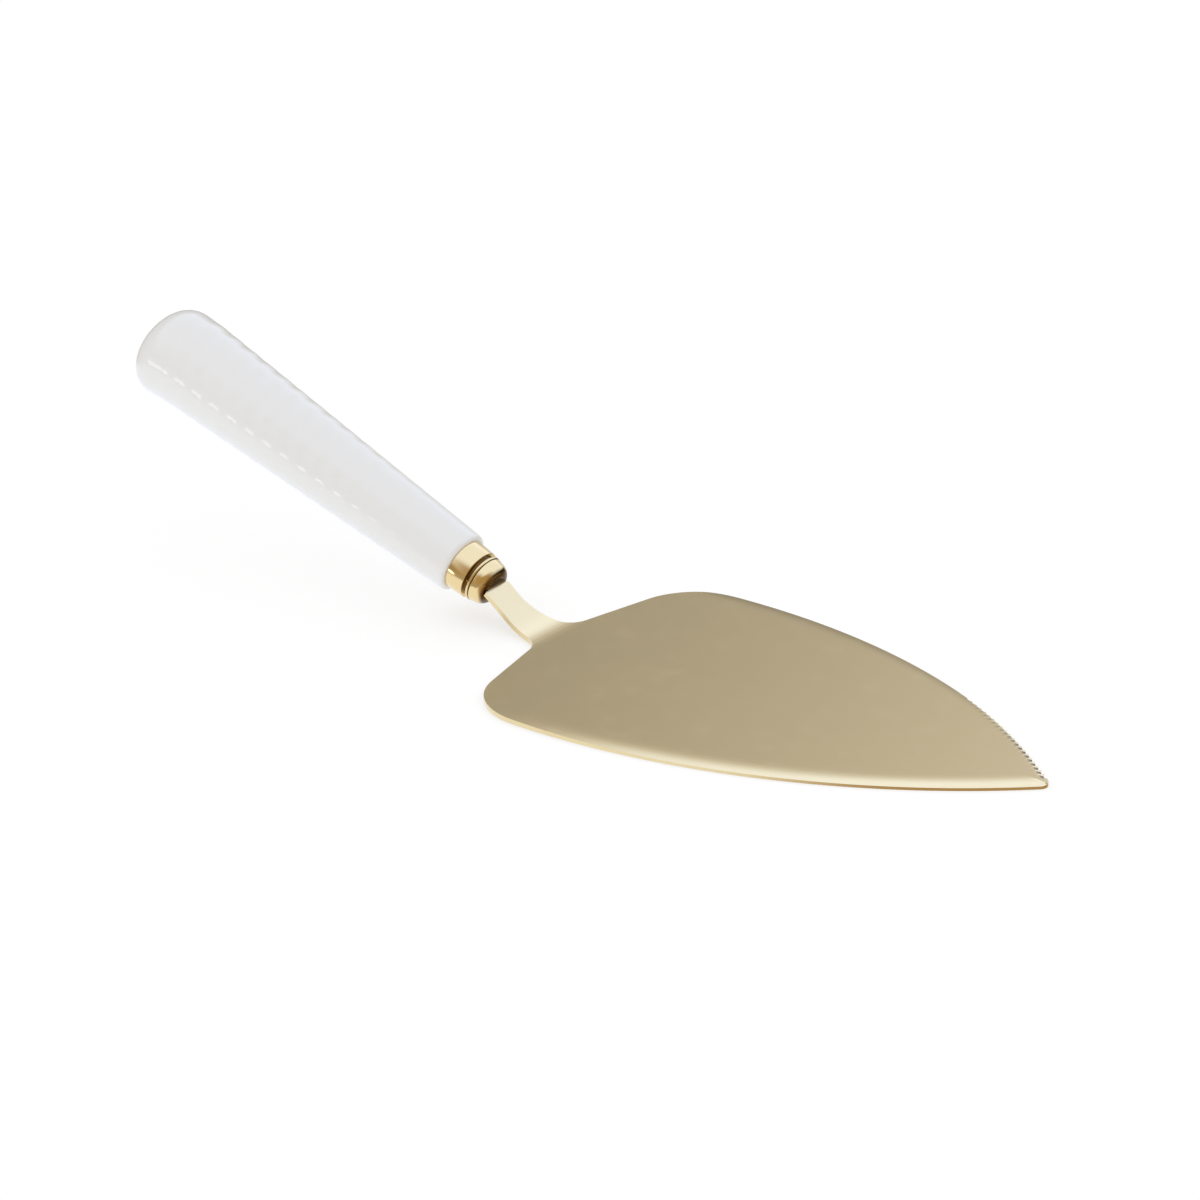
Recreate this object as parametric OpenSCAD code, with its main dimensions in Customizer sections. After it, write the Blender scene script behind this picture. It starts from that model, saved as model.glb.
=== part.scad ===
// Cake server: a leaf-shaped blade on a cranked neck, a turned bolster and ferrule,
// and a glazed porcelain handle with throwing rings.
// Frame: the origin is on the underside of the blade, on its centre line, where it is widest.
// +X runs to the point of the blade and +Z is up.
// The sections below measure along X from the neck bend, where the flat blade begins.

/* [Blade] */
// Length of the flat blade from the neck bend to the unrounded point
leaf_length = 143.6; // [120:0.2:170]
// Greatest width of the blade
leaf_width = 90; // [70:1:110]
// Distance of the greatest width from the neck bend
belly_x = 32; // [28:1:40]
// Thickness of the blade, neck and tang
sheet_t = 1.2; // [1:0.1:2]
// Radius of the rounded point
tip_radius = 2.2; // [1:0.1:8]
// Distance of the shoulder's root from the neck bend
shoulder_x = 3.2; // [1.5:0.1:5]
// Lean of the shoulder away from square, in degrees
shoulder_lean = 12; // [8:1:20]
// Radius of the shoulder's outer corner
shoulder_radius = 18; // [12:1:22]
// Radius where the neck runs into the shoulder
heel_radius = 6.5; // [3:0.5:8]
// Width of the rolled-off border along the plain edge
plain_roll_w = 4; // [3:0.5:8]
// Drop of the rolled-off border at the plain edge
plain_roll_drop = 0.5; // [0.3:0.1:0.8]
// Width of the rolled-off border along the toothed edge
toothed_roll_w = 2.5; // [1.5:0.5:8]
// Drop of the rolled-off border at the toothed edge
toothed_roll_drop = 0.3; // [0.2:0.1:0.8]

/* [Teeth] */
// Distance of the first tooth from the neck bend
teeth_x = 104; // [70:1:115]
// Pitch of the teeth along the edge
tooth_pitch = 2.2; // [1.8:0.1:3]
// Depth of the scallop between two teeth
tooth_depth = 0.4; // [0.3:0.1:0.8]

/* [Neck] */
// Slope of the neck, in degrees
neck_slope = 37; // [30:1:42]
// Inner radius of the bend between blade and neck
bend_radius = 7.6; // [5:0.2:12]
// Straight length of the neck between the bend and the bolster
neck_run = 10.35; // [8:0.05:16]
// Width of the neck at its waist
waist_w = 8.4; // [6:0.1:8.6]
// Distance of the waist behind the neck bend
waist_x = 8.7; // [6:0.1:10]
// Opening of the neck's sides towards the blade, in degrees
neck_flare = 11; // [8:1:18]
// Width of the neck where it butts against the bolster
neck_end_w = 8.7; // [8:0.1:9]
// Width of the tang inside the handle
tang_w = 5; // [4:0.5:5.5]
// Length of the tang behind the ferrule
tang_length = 46; // [30:1:60]

/* [Bolster] */
// Distance from the ferrule's front to the bolster's front face
bolster_length = 5.6; // [5:0.1:8]
// Diameter of the bolster's nose
nose_d = 11.8; // [11:0.1:12.4]
// Radius between the nose and the front face
nose_radius = 2.6; // [1:0.1:3]
// Narrowing of the nose in front of the bead, on the diameter
nose_taper = 0.5; // [0.2:0.1:1]
// Diameter of the bead
bead_d = 12.2; // [11.8:0.1:12.6]
// Width of the bead
bead_w = 0.9; // [0.7:0.1:1.5]
// Width of the groove behind the bead
groove_w = 0.9; // [0.4:0.1:1.2]
// Diameter at the bottom of the groove
groove_d = 11; // [10.6:0.1:11.4]

/* [Ferrule] */
// Length of the ferrule
ferrule_length = 5; // [4:0.5:9]
// Diameter of the ferrule at the porcelain
ferrule_rear_d = 13.2; // [12.8:0.1:14]
// Diameter of the ferrule at the bolster
ferrule_front_d = 12.6; // [12.2:0.1:12.8]
// Diameter of the ferrule's bore
ferrule_bore_d = 10.4; // [9.8:0.1:11]
// Film of glue or solder between joined pieces
joint_gap = 0.05; // [0.02:0.01:0.1]

/* [Handle] */
// Length of the porcelain behind the ferrule
handle_length = 104.5; // [90:0.5:125]
// Rise of the handle's axis, in degrees
handle_rise = 20.9; // [15:0.1:26]
// Diameter of the porcelain beside the ferrule
handle_front_d = 15.6; // [14.6:0.2:17]
// Diameter of the porcelain at the butt, before its dome
handle_butt_d = 23.8; // [20:0.2:26]
// Radius of the porcelain's front edge
lip_radius = 1.2; // [0.6:0.1:1.3]
// Length of the dome at the butt
dome_length = 8.3; // [6:0.1:14]
// Pitch of the throwing rings
ring_pitch = 5.75; // [4:0.25:9]
// Depth of the throwing rings
ring_depth = 0.1; // [0.05:0.05:0.4]
// Distance from the ferrule over which the rings grow to full depth
ring_fade = 45; // [20:1:70]
// Length of the porcelain spigot inside the ferrule
spigot_length = 3; // [2:0.5:3.5]
// Diameter of the socket for the tang
socket_d = 7.4; // [7:0.2:8.5]
// Depth of the socket past the end of the tang
socket_spare = 6; // [3:0.5:12]

/* [Hidden] */
$fn = 120;

// Overrun of every cutting shape past the face it cuts
overrun = 1;
// Steps in the neck bend, in the dome and in one throwing ring
bend_steps = 10;
dome_steps = 14;
ring_steps = 8;
// Exponent of the dome's rounded-square section
dome_power = 2.4;
// Broken edge between the bead and the nose
crease = 0.3;
// Reach of a corner's waste, as a share of the way to the unrounded corner
corner_reach_share = 1.15;

// Side edge: one arc through the point, widest at the belly
half_w = leaf_width / 2;
edge_radius = (pow(leaf_length - belly_x, 2) + pow(half_w, 2)) / leaf_width;
edge_centre = [belly_x, half_w - edge_radius];

// Rounded point, inside both side edges
tip_x = belly_x + sqrt(pow(edge_radius - tip_radius, 2) - pow(edge_radius - half_w, 2));
tip_spread = atan2(edge_radius - half_w, tip_x - belly_x);

// Shoulder corner, tangent to the leaning shoulder and to the side edge
shoulder_root = [shoulder_x, 0];
shoulder_dir = [sin(shoulder_lean), cos(shoulder_lean)];
shoulder_in = [cos(shoulder_lean), -sin(shoulder_lean)];
corner_start = shoulder_root + shoulder_radius * shoulder_in - edge_centre;
corner_along = corner_start * shoulder_dir;
corner_run = -corner_along + sqrt(pow(corner_along, 2) - corner_start * corner_start
                                  + pow(edge_radius - shoulder_radius, 2));
corner_centre = edge_centre + corner_start + corner_run * shoulder_dir;
corner_edge_angle = atan2(corner_centre.y - edge_centre.y, corner_centre.x - edge_centre.x);
corner_line_angle = 180 - shoulder_lean;

// Heel fillet, between the flaring neck and the shoulder
flare_dir = [cos(neck_flare), sin(neck_flare)];
flare_out = [-sin(neck_flare), cos(neck_flare)];
heel_y = (waist_w / 2 + (shoulder_x + waist_x) * tan(neck_flare))
         / (1 - tan(shoulder_lean) * tan(neck_flare));
heel_root = [shoulder_x + heel_y * tan(shoulder_lean), heel_y];
heel_tangent = heel_radius * tan((90 - shoulder_lean - neck_flare) / 2);
heel_neck_point = heel_root - heel_tangent * flare_dir;
heel_shoulder_point = heel_root + heel_tangent * shoulder_dir;
heel_centre = heel_neck_point + heel_radius * flare_out;

// Neck in side view: bend, straight run, then the tang along the handle's axis
neck_mid_radius = bend_radius + sheet_t / 2;
neck_mid = [-neck_mid_radius * sin(neck_slope),
            sheet_t + bend_radius - neck_mid_radius * cos(neck_slope)];
neck_end = neck_mid + neck_run * [-cos(neck_slope), sin(neck_slope)];
axis_dir = [-cos(handle_rise), sin(handle_rise)];
axis_up = [sin(handle_rise), cos(handle_rise)];
kink_half = sheet_t / 2 / cos(neck_slope - handle_rise);
nose_front = ferrule_length + bolster_length;
handle_joint = neck_end + nose_front * axis_dir;
tang_end = handle_joint + tang_length * axis_dir;
tang_reach = nose_front + tang_length;
socket_depth = tang_length + socket_spare;

// Throwing rings fade in from the ferrule and stop short of the dome
barrel_end = handle_length - dome_length;
handle_cone = (handle_butt_d - handle_front_d) / 2 / barrel_end;
ring_count = floor((barrel_end - lip_radius) / ring_pitch);
spigot_d = ferrule_bore_d - 2 * joint_gap;

// Teeth along the far edge, as angles about the edge's centre
scallop_radius = (pow(tooth_pitch / 2, 2) + pow(tooth_depth, 2)) / (2 * tooth_depth);
tooth_step = tooth_pitch / edge_radius * 180 / PI;
tooth_first = acos((teeth_x - belly_x) / edge_radius);
tooth_count = floor((tooth_first - tip_spread) / tooth_step);

function turn(angle) = [cos(angle), sin(angle)];
function arc(centre, radius, from_angle, to_angle, steps) =
    [for (i = [0 : steps]) centre + radius * turn(from_angle + (to_angle - from_angle) * i / steps)];
function handle_radius(z) = handle_front_d / 2 + handle_cone * z;
function ring_wave(z) = -ring_depth / 2 * min(1, z / ring_fade) * cos(360 * (z - lip_radius) / ring_pitch);

// Moves its children from the neck bend to the part's own origin, at the widest place
module from_bend() {
    translate([-belly_x, 0, 0]) children();
}

// Places its children on the handle's axis: +Z to the butt, from the ferrule's rear face
module on_handle_axis() {
    translate([handle_joint.x, 0, handle_joint.y])
        rotate([0, handle_rise - 90, 0])
            children();
}

// The waste outside a rounded corner, between two directions from its centre
module corner_waste(centre, radius, from_angle, to_angle) {
    reach = corner_reach_share * radius / cos((to_angle - from_angle) / 2);
    middle = (from_angle + to_angle) / 2;
    translate(centre)
        difference() {
            polygon([[0, 0], reach * turn(from_angle), reach * turn(middle), reach * turn(to_angle)]);
            circle(radius);
        }
}

// What the rounded corner of one shoulder leaves over
module shoulder_waste() {
    corner_waste(corner_centre, shoulder_radius, corner_edge_angle, corner_line_angle);
}

// The leaf: two side arcs, two leaning shoulders, three rounded corners
module leaf_plan() {
    shoulder_top = shoulder_root + half_w / cos(shoulder_lean) * shoulder_dir;
    difference() {
        intersection() {
            translate(edge_centre) circle(edge_radius, $fn = 720);
            mirror([0, 1]) translate(edge_centre) circle(edge_radius, $fn = 720);
            polygon([shoulder_root, shoulder_top, [leaf_length + overrun, half_w],
                     [leaf_length + overrun, -half_w], [shoulder_top.x, -shoulder_top.y]]);
        }
        corner_waste([tip_x, 0], tip_radius, -tip_spread, tip_spread);
        shoulder_waste();
        mirror([0, 1]) shoulder_waste();
    }
}

// The strip that becomes the tang, the neck, and its fillets into the shoulders
module neck_plan() {
    strip_end = tang_end.x - overrun;
    one_side = concat(
        [[strip_end, neck_end_w / 2], [neck_end.x, neck_end_w / 2], [-waist_x, waist_w / 2]],
        arc(heel_centre, heel_radius, neck_flare - 90, -shoulder_lean, bend_steps),
        [[belly_x, heel_shoulder_point.y]]);
    other_side = [for (i = [len(one_side) - 1 : -1 : 0]) [one_side[i].x, -one_side[i].y]];
    polygon(concat(one_side, other_side));
}

// Side view of the bent sheet, from the point of the blade to the end of the tang
module sheet_profile() {
    bend_centre = [0, sheet_t + bend_radius];
    bend_top = arc(bend_centre, bend_radius, -90, -90 - neck_slope, bend_steps);
    bend_bottom = arc(bend_centre, bend_radius + sheet_t, -90 - neck_slope, -90, bend_steps);
    polygon(concat(
        [[leaf_length, 0], [leaf_length, sheet_t]], bend_top,
        [neck_end + kink_half * axis_up, tang_end + sheet_t / 2 * axis_up,
         tang_end - sheet_t / 2 * axis_up, neck_end - kink_half * axis_up], bend_bottom));
}

// Cuts the strip down to the tang behind the bolster's front face
module tang_shoulders() {
    cut_w = neck_end_w / 2 + overrun;
    for (side = [-1, 1])
        on_handle_axis()
            translate([-sheet_t / 2 - overrun, side * (tang_w + cut_w) / 2 - cut_w / 2, -nose_front])
                cube([sheet_t + 2 * overrun, cut_w, tang_reach + overrun]);
}

// Rolls the upper face down to the rim along the far edge
module edge_roll(width, drop) {
    roll_radius = (pow(width, 2) + pow(drop, 2)) / (2 * drop);
    translate(edge_centre)
        rotate_extrude($fn = 720)
            difference() {
                translate([edge_radius - width, sheet_t - drop - overrun])
                    square([width + overrun, drop + 2 * overrun]);
                translate([edge_radius - width, sheet_t - roll_radius]) circle(roll_radius, $fn = 720);
            }
}

// Scallops that leave a row of teeth on the far edge
module teeth() {
    for (i = [0 : tooth_count - 1])
        let (place = edge_centre + (edge_radius + scallop_radius - tooth_depth)
                     * turn(tooth_first - i * tooth_step))
        translate([place.x, place.y, -overrun])
            cylinder(r = scallop_radius, h = sheet_t + 2 * overrun, $fn = 32);
}

// The space that the tang takes up, with a film all round it
module tang_space(film) {
    on_handle_axis()
        translate([-sheet_t / 2 - film, -tang_w / 2 - film, -nose_front - film])
            cube([sheet_t + 2 * film, tang_w + 2 * film, tang_reach + 2 * film]);
}

module blade() {
    plan_h = tang_end.y + sheet_t + 2 * overrun;
    color("#cdb988")
    from_bend()
    difference() {
        intersection() {
            rotate([90, 0, 0])
                linear_extrude(height = leaf_width + 2 * overrun, center = true) sheet_profile();
            translate([0, 0, -overrun])
                union() {
                    linear_extrude(height = plan_h) leaf_plan();
                    linear_extrude(height = plan_h) neck_plan();
                }
        }
        edge_roll(toothed_roll_w, toothed_roll_drop);
        mirror([0, 1, 0]) edge_roll(plain_roll_w, plain_roll_drop);
        teeth();
        tang_shoulders();
    }
}

// Turned section of the bolster: spigot, groove, bead, nose and front face
module bolster_profile() {
    groove_front = ferrule_length + groove_w;
    bead_front = groove_front + bead_w;
    bead_r = bead_w / 2;
    front_r = (nose_d - nose_taper) / 2;
    polygon(concat(
        [[0, -spigot_length], [spigot_d / 2, -spigot_length], [spigot_d / 2, -ferrule_length],
         [groove_d / 2, -ferrule_length], [groove_d / 2, -groove_front]],
        arc([bead_d / 2 - bead_r, -groove_front - bead_r], bead_r, 90, -90, bend_steps),
        [[groove_d / 2, -bead_front], [nose_d / 2 - crease, -bead_front], [nose_d / 2, -bead_front - crease]],
        arc([front_r - nose_radius, -nose_front + nose_radius], nose_radius, 0, -90, bend_steps),
        [[0, -nose_front]]));
}

module bolster() {
    color("#d8b765")
    from_bend()
    difference() {
        on_handle_axis() rotate_extrude() bolster_profile();
        tang_space(joint_gap);
    }
}

module ferrule() {
    color("#dcc074")
    from_bend()
    on_handle_axis()
        rotate_extrude()
            polygon([[ferrule_bore_d / 2, 0], [ferrule_rear_d / 2, 0],
                     [ferrule_front_d / 2, -ferrule_length], [ferrule_bore_d / 2, -ferrule_length]]);
}

// Half section of the porcelain: spigot, lip, ringed barrel and dome
module handle_profile() {
    lip_r = handle_radius(lip_radius);
    lip = arc([lip_r - lip_radius, lip_radius], lip_radius, -90, 0, bend_steps);
    rings = [for (i = [1 : ring_count * ring_steps])
        let (z = lip_radius + i * ring_pitch / ring_steps)
        [handle_radius(z) + ring_wave(z), z]];
    dome_r = handle_radius(barrel_end);
    dome = [for (i = [0 : dome_steps]) let (a = 90 * i / dome_steps)
        [dome_r * pow(cos(a), 2 / dome_power),
         barrel_end + dome_length * pow(sin(a), 2 / dome_power)]];
    polygon(concat(
        [[0, socket_depth], [socket_d / 2, socket_depth], [socket_d / 2, -spigot_length],
         [spigot_d / 2, -spigot_length], [spigot_d / 2, 0]], lip, rings, dome));
}

module handle() {
    color("#f2f1ee")
    from_bend()
    on_handle_axis() rotate_extrude() handle_profile();
}

module cement_core() {
    color("#b9b4a8")
    from_bend()
    difference() {
        on_handle_axis()
            translate([0, 0, -spigot_length])
                cylinder(d = socket_d, h = socket_depth + spigot_length);
        tang_space(0);
    }
}

handle();
cement_core();
ferrule();
bolster();
blade();
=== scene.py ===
"""Cake server with a leaf-shaped blade, a turned bolster and ferrule, and a ringed porcelain handle.

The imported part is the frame. Each piece is modelled over its solid and takes the solid's place.
"""

import math

import bmesh
import bpy
import numpy as np
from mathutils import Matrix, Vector


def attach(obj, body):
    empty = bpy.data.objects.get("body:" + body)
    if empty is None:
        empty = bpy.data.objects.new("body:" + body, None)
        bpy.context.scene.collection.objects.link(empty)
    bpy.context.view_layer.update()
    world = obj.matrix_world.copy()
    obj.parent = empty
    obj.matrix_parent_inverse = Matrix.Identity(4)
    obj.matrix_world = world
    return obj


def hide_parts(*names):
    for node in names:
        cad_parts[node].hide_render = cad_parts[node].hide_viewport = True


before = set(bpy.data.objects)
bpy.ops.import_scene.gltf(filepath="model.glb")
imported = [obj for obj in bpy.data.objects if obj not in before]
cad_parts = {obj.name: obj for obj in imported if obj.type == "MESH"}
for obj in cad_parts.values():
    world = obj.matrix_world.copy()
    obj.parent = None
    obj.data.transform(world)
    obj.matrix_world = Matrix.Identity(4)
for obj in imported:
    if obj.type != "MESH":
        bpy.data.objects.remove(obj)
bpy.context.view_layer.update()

bl_info = {
    "name": "Cake Server",
    "version": (1, 0, 0),
    "blender": (4, 5, 0),
    "location": "View3D > Sidebar > Cake Server",
    "description": "Models a cake server with a porcelain handle over its packed part",
    "category": "Object",
}

MM = 0.001
BODY = "root"
MERGE_DISTANCE = 0.002 * MM


# Properties

def size(name, description, millimetres):
    """A length that a user may change."""
    return bpy.props.FloatProperty(
        name=name, description=description, default=millimetres * MM, unit="LENGTH", precision=5)


def slope(name, description, degrees):
    """An angle that a user may change."""
    return bpy.props.FloatProperty(
        name=name, description=description, default=math.radians(degrees), unit="ROTATION")


def share(name, description, default):
    """A plain number from 0 to 1 that a user may change."""
    return bpy.props.FloatProperty(
        name=name, description=description, default=default, min=0.0, max=1.0, subtype="FACTOR")


def tint(name, description, default):
    """A colour that a user may change."""
    return bpy.props.FloatVectorProperty(
        name=name, description=description, default=default, size=3, min=0.0, max=1.0, subtype="COLOR")


class BladeSizes(bpy.types.PropertyGroup):
    """Sizes of the blade, measured along its length from the neck bend."""
    leaf_length: size("Leaf length", "Neck bend to the unrounded point", 143.6)
    leaf_width: size("Leaf width", "Greatest width", 90)
    belly: size("Belly", "Neck bend to the greatest width", 32)
    thickness: size("Thickness", "Thickness of the sheet", 1.2)
    tip_radius: size("Tip radius", "Radius of the rounded point", 2.2)
    shoulder_root: size("Shoulder root", "Neck bend to the root of the shoulder", 3.2)
    shoulder_lean: slope("Shoulder lean", "Lean of the shoulder away from square", 12)
    shoulder_radius: size("Shoulder radius", "Radius of the shoulder's outer corner", 18)
    heel_radius: size("Heel radius", "Radius where the neck meets the shoulder", 6.5)
    plain_border: size("Plain border", "Width of the rolled-off border along the plain edge", 6)
    plain_drop: size("Plain drop", "Drop of the border at the plain edge", 0.5)
    border_growth: size("Border growth", "Length over which the plain border grows to full depth", 55)
    toothed_border: size("Toothed border", "Width of the rolled-off border along the toothed edge", 2.5)
    toothed_drop: size("Toothed drop", "Drop of the border at the toothed edge", 0.3)
    teeth_start: size("Teeth start", "Neck bend to the first tooth", 104)
    tooth_pitch: size("Tooth pitch", "Pitch of the teeth along the edge", 2.2)
    tooth_depth: size("Tooth depth", "Depth of the scallop between two teeth", 0.4)
    hollow_width: size("Hollow width", "Reach of the hollow behind a scallop on the upper face", 1.8)
    hollow_drop: size("Hollow drop", "Depth of the hollow behind a scallop", 0.4)
    neck_slope: slope("Neck slope", "Slope of the neck", 37)
    bend_radius: size("Bend radius", "Inner radius of the neck bend", 7.6)
    bend_ease: size("Bend ease", "Length over which the sheet turns into the neck", 20)
    neck_run: size("Neck run", "Straight length of the neck", 10.35)
    waist_width: size("Waist width", "Width of the neck at its waist", 8.4)
    waist_back: size("Waist place", "Distance of the waist behind the neck bend", 8.7)
    neck_flare: slope("Neck flare", "Opening of the neck's sides towards the blade", 11)
    neck_end_width: size("Neck end width", "Width of the neck at the bolster", 8.7)
    tang_width: size("Tang width", "Width of the tang inside the handle", 5)
    tang_length: size("Tang length", "Length of the tang behind the ferrule", 46)


class FittingSizes(bpy.types.PropertyGroup):
    """Sizes of the turned bolster and the ferrule behind it."""
    bolster_length: size("Bolster length", "Ferrule to the bolster's front face", 5.6)
    nose_diameter: size("Nose diameter", "Diameter of the bolster's nose", 11.8)
    nose_radius: size("Nose radius", "Radius between the nose and the front face", 2.6)
    nose_taper: size("Nose taper", "Narrowing of the nose, on the diameter", 0.5)
    bead_diameter: size("Bead diameter", "Diameter of the bead", 12.2)
    bead_width: size("Bead width", "Width of the bead", 0.9)
    groove_width: size("Groove width", "Width of the groove behind the bead", 0.9)
    groove_diameter: size("Groove diameter", "Diameter at the bottom of the groove", 11)
    ferrule_length: size("Ferrule length", "Length of the ferrule", 5)
    ferrule_rear: size("Ferrule rear diameter", "Diameter of the ferrule at the porcelain", 13.2)
    ferrule_front: size("Ferrule front diameter", "Diameter of the ferrule at the bolster", 12.6)
    ferrule_bore: size("Ferrule bore", "Diameter of the ferrule's bore", 10.4)
    film: size("Film", "Film of glue or solder between pieces", 0.05)
    edge_radius: size("Edge radius", "Broken edge of the turned metal", 0.18)


class HandleSizes(bpy.types.PropertyGroup):
    """Sizes of the porcelain handle."""
    length: size("Length", "Length of the porcelain behind the ferrule", 104.5)
    rise: slope("Rise", "Rise of the handle's axis", 20.9)
    front_diameter: size("Front diameter", "Diameter beside the ferrule", 15.6)
    butt_diameter: size("Butt diameter", "Diameter at the butt, before its dome", 23.8)
    lip_radius: size("Lip radius", "Radius of the front edge", 1.2)
    dome_length: size("Dome length", "Length of the dome at the butt", 8.3)
    ring_pitch: size("Ring pitch", "Pitch of the throwing rings", 5.75)
    droop: size("Droop", "Sag of the dome below the handle's axis at its end", 1.5)
    ring_depth: size("Ring depth", "Depth of the throwing rings", 0.1)
    ring_fade: size("Ring fade", "Length over which the rings grow to full depth", 45)
    spigot_length: size("Spigot length", "Length of the spigot inside the ferrule", 3)
    socket_diameter: size("Socket diameter", "Diameter of the socket for the tang", 7.4)
    socket_depth: size("Socket depth", "Depth of the socket behind the ferrule", 52)


class Finishes(bpy.types.PropertyGroup):
    """Colours and gloss of the surfaces."""
    glaze: tint("Glaze", "White of the glazed porcelain", (0.757, 0.749, 0.735))
    glaze_pool: tint("Pooled glaze", "Glaze where it lies thicker", (0.747, 0.739, 0.725))
    blade_gold: tint("Blade gold", "Pale gold of the blade", (0.84, 0.68, 0.385))
    fitting_gold: tint("Fitting gold", "Gold of the bolster and ferrule", (0.86, 0.66, 0.33))
    # Painted shade: dark brown painted into the bolster's groove, crease and front face and into the blade's
    # gullets, in place of shadow and dark reflection
    painted_shade: tint("Painted shade", "Dark brown in the bolster's groove", (0.12, 0.065, 0.018))
    cement: tint("Cement", "Set cement round the tang", (0.50, 0.47, 0.42))
    satin: share("Satin", "Roughness of the blade", 0.2)
    polish: share("Polish", "Roughness of the bolster and ferrule", 0.08)


class StageSettings(bpy.types.PropertyGroup):
    """Camera, floor and light."""
    azimuth: slope("Azimuth", "Turn of the camera about the vertical", 37.106)
    elevation: slope("Elevation", "Height of the camera above the floor", 23.001)
    distance: size("Distance", "Camera to the point it looks at", 1137.5)
    lens: bpy.props.FloatProperty(
        name="Lens", description="Focal length on a 36 mm sensor", default=140.4, subtype="DISTANCE_CAMERA")
    target: bpy.props.FloatVectorProperty(
        name="Target", description="Point in the middle of the picture",
        default=(-32.91 * MM, 25.20 * MM, 0.0), size=3, subtype="TRANSLATION")
    floor: tint("Floor", "Colour of the floor", (1.0, 1.0, 1.0))
    daylight: bpy.props.FloatProperty(
        name="Daylight", description="Strength of the soft light all round", default=1.0, min=0.0)


# Modelling helpers

def deselect_all():
    """Leaves nothing selected, so that an operator acts on its own piece alone."""
    if bpy.context.mode != "OBJECT":
        bpy.ops.object.mode_set(mode="OBJECT")
    bpy.ops.object.select_all(action="DESELECT")


def start_point(name, place):
    """A new mesh of one selected vertex, in edit mode."""
    deselect_all()
    bpy.ops.mesh.primitive_plane_add(size=MM, location=place)
    piece = bpy.context.object
    piece.name = piece.data.name = name
    bpy.ops.object.transform_apply(location=True, rotation=True, scale=True)
    bpy.ops.object.mode_set(mode="EDIT")
    bpy.ops.mesh.select_mode(type="VERT")
    bpy.ops.mesh.select_all(action="SELECT")
    bpy.ops.mesh.merge(type="CENTER")
    return piece


def extrude_by(step):
    """Extrudes what is selected and leaves the new end selected."""
    bpy.ops.mesh.extrude_region_move(TRANSFORM_OT_translate={"value": step})


def select_where(piece, test):
    """Selects the vertices whose place passes the test."""
    mesh = bmesh.from_edit_mesh(piece.data)
    for vertex in mesh.verts:
        vertex.select = test(vertex.co)
    mesh.select_flush_mode()
    bmesh.update_edit_mesh(piece.data)


def spin_section(name, section, place, centre, axis, steps):
    """Draws a section point by point and spins it round an axis into a closed solid."""
    points = [place(radius, along) for radius, along in section]
    piece = start_point(name, points[0])
    for before, after in zip(points, points[1:]):
        extrude_by(after - before)
    bpy.ops.mesh.select_all(action="SELECT")
    bpy.ops.mesh.spin(steps=steps, angle=math.tau, center=centre, axis=axis)
    bpy.ops.mesh.select_all(action="SELECT")
    bpy.ops.mesh.remove_doubles(threshold=MERGE_DISTANCE)
    bpy.ops.mesh.normals_make_consistent(inside=False)
    return piece


def apply_modifier(piece, kind, **settings):
    """Adds a modifier, sets it and applies it."""
    bpy.ops.object.modifier_add(type=kind)
    modifier = piece.modifiers[-1]
    for key, value in settings.items():
        setattr(modifier, key, value)
    bpy.ops.object.modifier_apply(modifier=modifier.name)


def finish_piece(piece, node, material, sharp):
    """Shades a piece, gives it its finish and puts it in the place of its solid."""
    if bpy.context.mode != "OBJECT":
        bpy.ops.object.mode_set(mode="OBJECT")
    bpy.ops.object.shade_smooth_by_angle(angle=math.radians(sharp))
    piece.data.materials.clear()
    piece.data.materials.append(material)
    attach(piece, BODY)
    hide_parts(node)


def turn(angle):
    """Unit vector at an angle in the plane."""
    return Vector((math.cos(angle), math.sin(angle)))


def arc(centre, radius, start, end, steps):
    """Points on an arc in the plane, both ends included."""
    return [centre + radius * turn(start + (end - start) * i / steps) for i in range(steps + 1)]


def ease(value):
    """Smooth rise from 0 to 1."""
    value = min(max(value, 0.0), 1.0)
    return value * value * (3 - 2 * value)


# Shapes that several pieces share

class ServerLayout:
    """Where the neck, the bolster and the handle's axis lie, in the part's frame."""

    def __init__(self, scene):
        blade, fitting, handle = scene.server_blade, scene.server_fitting, scene.server_handle
        middle = blade.bend_radius + blade.thickness / 2
        slope_dir = Vector((-math.cos(blade.neck_slope), 0, math.sin(blade.neck_slope)))
        bend_end = Vector((-blade.belly - middle * math.sin(blade.neck_slope), 0,
                           blade.thickness + blade.bend_radius - middle * math.cos(blade.neck_slope)))
        self.axis = Vector((-math.cos(handle.rise), 0, math.sin(handle.rise)))
        self.up = Vector((math.sin(handle.rise), 0, math.cos(handle.rise)))
        self.neck_end = bend_end + blade.neck_run * slope_dir
        self.nose_front = fitting.ferrule_length + fitting.bolster_length
        self.joint = self.neck_end + self.nose_front * self.axis

    def at(self, radius, along):
        """A point above the handle's axis, measured from the ferrule's rear face to the butt."""
        return self.joint + along * self.axis + radius * self.up

    def along(self, place):
        """How far a point lies behind the ferrule's rear face."""
        return (place - self.joint).dot(self.axis)

    def spin(self, name, section, steps):
        """A turned piece on the handle's axis."""
        return spin_section(name, section, self.at, self.joint, self.axis, steps)


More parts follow.
